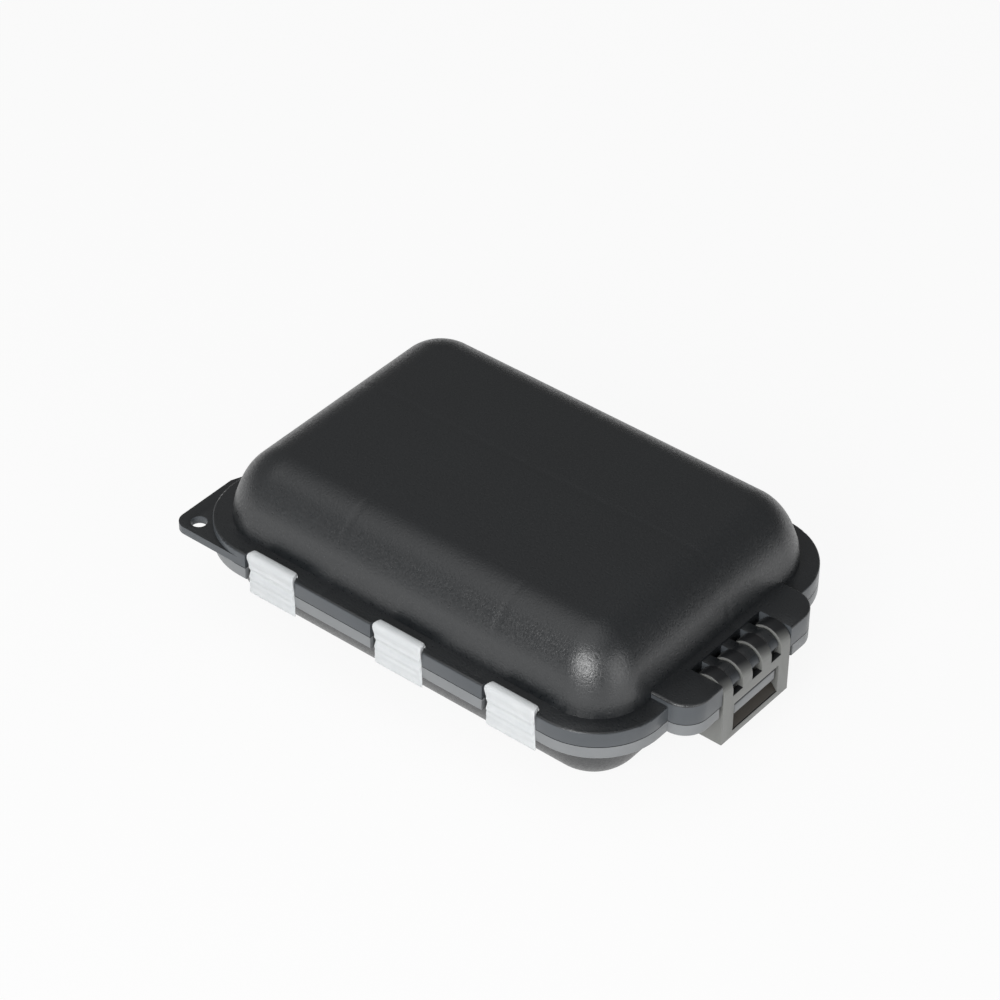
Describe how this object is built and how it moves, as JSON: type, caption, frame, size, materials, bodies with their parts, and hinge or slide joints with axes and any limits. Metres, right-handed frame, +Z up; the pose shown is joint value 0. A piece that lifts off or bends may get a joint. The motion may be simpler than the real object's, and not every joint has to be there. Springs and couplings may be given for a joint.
{
  "type": "tackle box",
  "caption": "Pocket tackle box: two ribbed, domed plastic shells that open flat on flexing hinge strips, with clear compartment covers, a hinged snap latch and a lanyard ear.",
  "frame": {"origin": "centre of the flat underside of the base, which is the face it rests on", "axes": "+Z up, +X along the box towards the latch, the hinge strips on the -Y side"},
  "size_m": [0.1181, 0.079, 0.0365],
  "materials": {
    "shell_black": "fine moulded texture",
    "latch_black": "satin",
    "strip_white": "satin, slightly translucent",
    "cover_clear": "clear, glossy",
    "pin_steel": "drawn wire"
  },
  "bodies": {
    "base_half": {"base_shell": "shell_black", "hinge_strip_base_1": "strip_white", "hinge_strip_base_2": "strip_white", "hinge_strip_base_3": "strip_white"},
    "lid_half": {"lid_shell": "shell_black", "latch_pin": "pin_steel", "hinge_strip_lid_1": "strip_white", "hinge_strip_lid_2": "strip_white", "hinge_strip_lid_3": "strip_white"},
    "latch_arm": {"latch": "latch_black"},
    "base_flap_1": {"base_cover_1": "cover_clear"},
    "base_flap_2": {"base_cover_2": "cover_clear"},
    "base_flap_3": {"base_cover_3": "cover_clear"},
    "base_flap_4": {"base_cover_4": "cover_clear"},
    "base_flap_5": {"base_cover_5": "cover_clear"},
    "lid_flap_1": {"lid_cover_1": "cover_clear"},
    "lid_flap_2": {"lid_cover_2": "cover_clear"},
    "lid_flap_3": {"lid_cover_3": "cover_clear"},
    "lid_flap_4": {"lid_cover_4": "cover_clear"},
    "lid_flap_5": {"lid_cover_5": "cover_clear"}
  },
  "joints": [
    {"name": "lid_hinge", "type": "hinge", "parent": "base_half", "child": "lid_half", "pos_m": [0, -0.0397, 0.0175], "axis": [1, 0, 0], "range_deg": [0, 180]},
    {"name": "latch_pivot", "type": "hinge", "parent": "lid_half", "child": "latch_arm", "pos_m": [0.0569, 0, 0.0192], "axis": [0, -1, 0], "range_deg": [0, 40]},
    {"name": "base_cover_1_hinge", "type": "hinge", "parent": "base_half", "child": "base_flap_1", "pos_m": [-0.02875, -0.0355, 0.01625], "axis": [1, 0, 0], "range_deg": [0, 81]},
    {"name": "base_cover_2_hinge", "type": "hinge", "parent": "base_half", "child": "base_flap_2", "pos_m": [0.00225, -0.0355, 0.01625], "axis": [1, 0, 0], "range_deg": [0, 81]},
    {"name": "base_cover_3_hinge", "type": "hinge", "parent": "base_half", "child": "base_flap_3", "pos_m": [0.031, -0.0355, 0.01625], "axis": [1, 0, 0], "range_deg": [0, 81]},
    {"name": "base_cover_4_hinge", "type": "hinge", "parent": "base_half", "child": "base_flap_4", "pos_m": [-0.02465, 0.0056, 0.01625], "axis": [1, 0, 0], "range_deg": [0, 81]},
    {"name": "base_cover_5_hinge", "type": "hinge", "parent": "base_half", "child": "base_flap_5", "pos_m": [0.02465, 0.0056, 0.01625], "axis": [1, 0, 0], "range_deg": [0, 81]},
    {"name": "lid_cover_1_hinge", "type": "hinge", "parent": "lid_half", "child": "lid_flap_1", "pos_m": [-0.02875, -0.0355, 0.01875], "axis": [-1, 0, 0], "range_deg": [0, 81]},
    {"name": "lid_cover_2_hinge", "type": "hinge", "parent": "lid_half", "child": "lid_flap_2", "pos_m": [0.00225, -0.0355, 0.01875], "axis": [-1, 0, 0], "range_deg": [0, 81]},
    {"name": "lid_cover_3_hinge", "type": "hinge", "parent": "lid_half", "child": "lid_flap_3", "pos_m": [0.031, -0.0355, 0.01875], "axis": [-1, 0, 0], "range_deg": [0, 81]},
    {"name": "lid_cover_4_hinge", "type": "hinge", "parent": "lid_half", "child": "lid_flap_4", "pos_m": [-0.02465, 0.0056, 0.01875], "axis": [-1, 0, 0], "range_deg": [0, 81]},
    {"name": "lid_cover_5_hinge", "type": "hinge", "parent": "lid_half", "child": "lid_flap_5", "pos_m": [0.02465, 0.0056, 0.01875], "axis": [-1, 0, 0], "range_deg": [0, 81]}
  ],
  "couplings": [
    {"joint": "base_cover_1_hinge", "follows": "lid_hinge", "ratio": 0.45},
    {"joint": "base_cover_2_hinge", "follows": "lid_hinge", "ratio": 0.45},
    {"joint": "base_cover_3_hinge", "follows": "lid_hinge", "ratio": 0.45},
    {"joint": "base_cover_4_hinge", "follows": "lid_hinge", "ratio": 0.45},
    {"joint": "base_cover_5_hinge", "follows": "lid_hinge", "ratio": 0.45},
    {"joint": "lid_cover_1_hinge", "follows": "lid_hinge", "ratio": 0.45},
    {"joint": "lid_cover_2_hinge", "follows": "lid_hinge", "ratio": 0.45},
    {"joint": "lid_cover_3_hinge", "follows": "lid_hinge", "ratio": 0.45},
    {"joint": "lid_cover_4_hinge", "follows": "lid_hinge", "ratio": 0.45},
    {"joint": "lid_cover_5_hinge", "follows": "lid_hinge", "ratio": 0.45}
  ]
}
